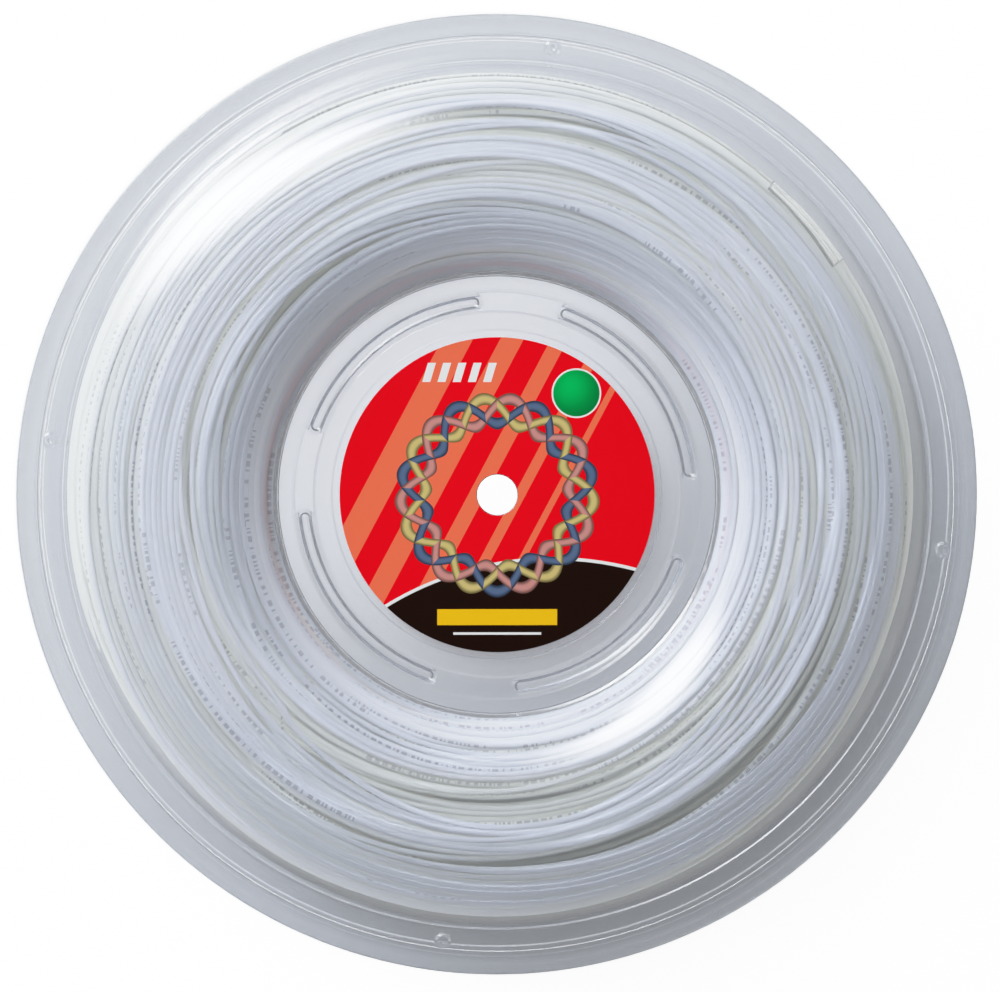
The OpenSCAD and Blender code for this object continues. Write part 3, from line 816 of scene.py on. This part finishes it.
def tube(name, r, z, angle, along, s, section, material):
    """One run of string as a round tube with closed ends.

    Its points also hold their place along the string, the printed side, the depth under the dome, which sets
    the string's painted shade, and the way that the dome over them faces, which the milky string is shaded
    towards.
    """
    strand_r = s.strand_d / 2
    side = 2 * math.pi * np.arange(s.sides) / s.sides
    height = CROWN_H + z[:, None] + strand_r * np.sin(side)
    points = round_points(r[:, None] + strand_r * np.cos(side), angle[:, None], height)
    cap = np.arange(s.sides)
    caps = [cap, (len(r) - 1) * s.sides + cap[::-1]]
    obj = make_object(name, points, grid_quads(len(r), s.sides, wrap_columns=True), caps, material)
    twist = 2 * math.pi * along / PRINT["twist"]
    values = {"along": np.repeat(along, s.sides),
              "print_side": np.cos(side[None, :] - twist[:, None]).ravel(),
              # Depth under the dome, which sets the string's painted shade
              "depth": np.repeat(section.ceiling(r, 0) - np.abs(z), s.sides)}
    for key, value in values.items():
        obj.data.attributes.new(key, "FLOAT", "POINT").data.foreach_set("value", value.astype(np.float32))
    lean_in = np.maximum(section.s.crown_in - r, 0) / section.inner_r
    lean_out = np.maximum(r - section.s.crown_out, 0) / section.outer_r
    lean = np.clip(lean_out - lean_in, -STEEPEST_LEAN, STEEPEST_LEAN)
    faces = np.repeat(round_points(lean, angle, np.sign(z) * np.sqrt(1 - lean ** 2)), s.sides, axis=0)
    held = obj.data.attributes.new("pack_normal", "FLOAT_VECTOR", "POINT")
    held.data.foreach_set("vector", faces.astype(np.float32).ravel())
    return obj


# The strip over the free end. A share of it lies behind the end, and it spans hollows of so many cells.
FILM = {"length": 26 * MM, "behind": 0.75, "rings": 40, "columns": 27, "cells": 9, "lift": 0.05 * MM,
        "thickness": 0.12 * MM}


def drape(surface, heights, steps_wound, s, low, high):
    """Points of a thin closed film over the wound surface. It spans the hollows between the strands."""
    middle, width = (high[2] + low[2]) / 2 - CROWN_H, high[2] - low[2]
    under = np.abs(heights - middle) < width / 2
    film_r = float(surface[:, under].mean())
    reach = FILM["length"] / film_r
    angles = s.tail_turn + np.linspace(-FILM["behind"], 1 - FILM["behind"], FILM["rings"]) * reach
    side = FILM["cells"]
    padded = np.pad(surface, ((0, 0), (side, side)), "edge")
    span = np.lib.stride_tricks.sliding_window_view(padded, 2 * side + 1, axis=1).max(-1)
    span = np.array([np.convolve(line, bell(side, side / 2), "same") for line in span])
    z = middle + np.linspace(-width / 2, width / 2, FILM["columns"])
    lines = np.array([np.interp(z, heights, line) for line in span])
    place = (angles - s.tail_turn) / (2 * math.pi / s.steps) + steps_wound - 1
    first = np.floor(place).astype(int)
    part = (place - first)[:, None]
    r = (1 - part) * lines[first % s.steps] + part * lines[(first + 1) % s.steps] + FILM["lift"]
    r = np.concatenate([r + FILM["thickness"], r[:, ::-1]], 1)
    return round_points(r, angles[:, None], CROWN_H + np.concatenate([z, z[::-1]]))


# ---------- operators

# Greatest number of faces in one run of string
RUN_FACES = 190_000


def cover(node, material):
    """Give a node of the frame, whose shape is right as it is, its finish."""
    mesh = bpy.data.objects[node].data
    mesh.materials.clear()
    mesh.materials.append(material)


class REEL_OT_flanges(bpy.types.Operator):
    """Build the two clear moulded halves"""
    bl_idname = "reel.flanges"
    bl_label = "Clear halves"

    def execute(self, context):
        section = Section(context.scene.reel_sizes)
        material = clear_plastic(context.scene.reel_colours)
        t = TONGUE
        halves = (("front_flange", 1, t["width"] / 2, -t["height"]),
                  ("rear_flange", -1, t["width"] / 2 + t["side_air"], t["height"] + t["end_air"]))
        for name, side, half, depth in halves:
            inner, outer = t["mid"] - half, t["mid"] + half
            joint = [(outer, JOINT_GAP), (outer, depth), (inner, depth), (inner, JOINT_GAP)]
            outline = np.array(section.outline(joint))
            angle = section.angles()[:, None]
            r, h = outline[None, :, 0], outline[None, :, 1]
            face = (np.abs(h - section.s.floor_h) < TINY) | (np.abs(h - section.s.land_h) < TINY)
            h = h + np.where(face & (r > section.s.recess_r), section.relief(r, angle), 0)
            points = round_points(r, angle, CROWN_H + side * h)
            quads = grid_quads(*points.shape[:2], wrap_rows=True, wrap_columns=True, flip=side > 0)
            piece = make_object("clear_" + name, points, quads, [], material)
            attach(piece, BODY)
            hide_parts(name)
        return {"FINISHED"}


class REEL_OT_string(bpy.types.Operator):
    """Wind the string on the drum between the halves"""
    bl_idname = "reel.string"
    bl_label = "Wound string"

    def execute(self, context):
        s = context.scene.reel_string
        section = Section(context.scene.reel_sizes)
        material = string_material(context.scene.reel_colours)
        low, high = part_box("end_tape")
        r, z, angle, surface, heights = wind(section, s, (low[2] + high[2]) / 2 - CROWN_H)
        along = np.cumsum(r) * 2 * math.pi / s.steps
        runs = math.ceil(len(r) * s.sides * 2 / RUN_FACES)
        ends = np.linspace(0, len(r) - 1, runs + 1).astype(int)
        for k in range(runs):
            part = slice(ends[k], ends[k + 1] + 1)
            name = f"wound_string_{k + 1}"
            piece = tube(name, r[part], z[part], angle[part], along[part], s, section, material)
            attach(piece, BODY)
            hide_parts("string_turns" if k == runs - 1 else "string_pack")
        film = strip_material(context.scene.reel_colours)
        points = drape(surface, heights, len(r), s, low, high)
        rings, around = points.shape[:2]
        near, far = np.arange(around // 2 - 1), np.arange(around - 1, around // 2, -1)
        cap = np.stack([near, near + 1, far - 1, far], -1)
        quads = [grid_quads(rings, around, wrap_columns=True), cap, cap[:, ::-1] + (rings - 1) * around]
        piece = make_object("end_strip", points, np.concatenate(quads), [], film)
        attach(piece, BODY)
        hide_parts("end_tape")
        cover("start_tape", film)
        return {"FINISHED"}


class REEL_OT_labels(bpy.types.Operator):
    """Print the two round labels"""
    bl_idname = "reel.labels"
    bl_label = "Labels"

    def execute(self, context):
        cover("front_label", front_label_material(context.scene.reel_colours))
        cover("rear_label", rear_label_material(context.scene.reel_colours))
        return {"FINISHED"}


# ---------- stage

FLOOR_HALF = 3.0
# Tone curve as (brightness, how bright it is shown)
SHOULDER = [(0.3, 0.3), (0.6, 0.59), (0.9, 0.80), (1.3, 0.93), (1.7, 0.985), (2.2, 1.0)]
WALLS = {"top": math.radians(10), "ceiling": math.radians(32), "bright": 1.2, "dim": 0.06,
         "colour": (1.0, 1.0, 0.95)}
LAMP_COLOUR = (0.94, 0.967, 1.0)
KEY = {"turn": math.radians(130), "rise": math.radians(36), "away": 2.2, "size": (3.0, 1.5), "watts": 205.0,
       "core": 0.1}
CARD = {"turn": math.radians(120), "off": 0.45, "level": 2.2, "size": (1.3, 1.8), "watts": 8.0, "core": 0.7}
SENSOR = 36
VIEW = {"distance": 1.4, "width": 0.2495, "tilt": math.radians(1.6), "turn": math.radians(135),
        "right": 0.65 * MM, "up": -0.25 * MM, "level": 20.9 * MM}


def direction(turn, rise):
    """Unit vector turned about Z from +X and raised from the floor."""
    return Vector((math.cos(turn) * math.cos(rise), math.sin(turn) * math.cos(rise), math.sin(rise)))


class REEL_OT_stage(bpy.types.Operator):
    """Lay the floor and set the lamps and the camera"""
    bl_idname = "reel.stage"
    bl_label = "Stage"

    def execute(self, context):
        half = FLOOR_HALF
        corners = [(-half, -half, 0), (half, -half, 0), (half, half, 0), (-half, half, 0)]
        finish = floor_material(context.scene.reel_colours)
        floor = make_object("floor", corners, np.array([[0, 1, 2, 3]]), [], finish)
        scene = context.scene
        scene.view_settings.view_transform = "Standard"
        self.soften_highlights(scene.view_settings)
        scene.world = scene.world or bpy.data.worlds.new("studio")
        scene.world.use_nodes = True
        self.paint_walls(Nodes(scene.world.node_tree))
        key = self.softbox("key_softbox", KEY)
        place = direction(KEY["turn"], KEY["rise"]) * KEY["away"]
        self.aim(context, "key_softbox", key, place, Vector((0, 0, CROWN_H)))
        card = bpy.data.objects.new("top_card", self.softbox("top_card", CARD))
        card.location = direction(CARD["turn"], 0) * CARD["off"] + Vector((0, 0, CARD["level"]))
        card.rotation_euler = (0, 0, CARD["turn"])
        scene.collection.objects.link(card)
        camera = bpy.data.cameras.new("camera")
        camera.sensor_width, camera.lens = SENSOR, SENSOR * VIEW["distance"] / VIEW["width"]
        target = Vector((VIEW["right"], VIEW["up"], VIEW["level"]))
        lean = direction(VIEW["turn"], 0) * VIEW["distance"] * math.tan(VIEW["tilt"])
        spot = target + lean + Vector((0, 0, VIEW["distance"]))
        scene.camera = self.aim(context, "camera", camera, spot, target)
        return {"FINISHED"}

    @staticmethod
    def soften_highlights(view):
        """Roll the brightest tones off gently, as a camera does."""
        view.use_curve_mapping = True
        curve = view.curve_mapping
        white = SHOULDER[-1][0]
        curve.white_level = (white,) * 3
        for bright, shown in SHOULDER[:-1]:
            curve.curves[3].points.new(bright / white, shown)
        curve.update()

    @staticmethod
    def paint_walls(m):
        """Surround the stage with pale walls under a darker ceiling."""
        height = m.node("SeparateXYZ", {0: m.node("TexCoord").outputs["Generated"]}).outputs[2]
        top, ceiling = math.sin(WALLS["top"]), math.sin(WALLS["ceiling"])
        backdrop = m.tree.nodes["Background"]
        m.put(solid(WALLS["colour"]), backdrop.inputs["Color"])
        m.put(m.spread(height, top, ceiling, WALLS["bright"], WALLS["dim"]), backdrop.inputs["Strength"])

    @staticmethod
    def softbox(name, look):
        """A rectangular lamp that fades from an even core, a share of its half size, to its edges."""
        lamp = bpy.data.lights.new(name, "AREA")
        lamp.shape, lamp.color, lamp.energy = "RECTANGLE", LAMP_COLOUR, look["watts"]
        lamp.size, lamp.size_y = look["size"]
        lamp.use_nodes = True
        m = Nodes(lamp.node_tree)
        spot = m.node("SeparateXYZ", {0: m.node("NewGeometry").outputs["Parametric"]}).outputs[:2]
        offs = [m.math("ABSOLUTE", m.math("SUBTRACT", part, 0.5)) for part in spot]
        fade = m.every(*[m.spread(off, 0.5, look["core"] / 2) for off in offs])
        m.put(fade, m.tree.nodes["Emission"].inputs["Strength"])
        return lamp

    @staticmethod
    def aim(context, name, data, place, target):
        """Place a lamp or camera to face the target."""
        obj = bpy.data.objects.new(name, data)
        obj.location = place
        back = (place - target).normalized()
        right = Vector((0, 1, 0)).cross(back).normalized()
        obj.rotation_euler = Matrix((right, back.cross(right), back)).transposed().to_euler()
        context.scene.collection.objects.link(obj)
        return obj


class REEL_PT_panel(bpy.types.Panel):
    """Lists the reel's builders and sizes"""
    bl_idname = "REEL_PT_panel"
    bl_label = "String Reel"
    bl_space_type = "VIEW_3D"
    bl_region_type = "UI"
    bl_category = "String Reel"

    def draw(self, context):
        for operator in OPERATORS:
            self.layout.operator(operator.bl_idname)
        for key in GROUPS:
            group = getattr(context.scene, key)
            box = self.layout.box()
            for size in group.bl_rna.properties.keys():
                if size not in ("rna_type", "name"):
                    box.prop(group, size)


OPERATORS = [REEL_OT_stage, REEL_OT_flanges, REEL_OT_string, REEL_OT_labels]
GROUPS = {"reel_sizes": ReelSizes, "reel_string": StringSizes, "reel_colours": ReelColours}
CLASSES = [*GROUPS.values(), *OPERATORS, REEL_PT_panel]


def register():
    for kind in CLASSES:
        bpy.utils.register_class(kind)
    for key, group in GROUPS.items():
        setattr(bpy.types.Scene, key, bpy.props.PointerProperty(type=group))


def unregister():
    for key in GROUPS:
        delattr(bpy.types.Scene, key)
    for kind in reversed(CLASSES):
        bpy.utils.unregister_class(kind)


def main():
    register()
    bpy.ops.reel.stage()
    bpy.ops.reel.flanges()
    bpy.ops.reel.string()
    bpy.ops.reel.labels()


if __name__ == "__main__":
    main()
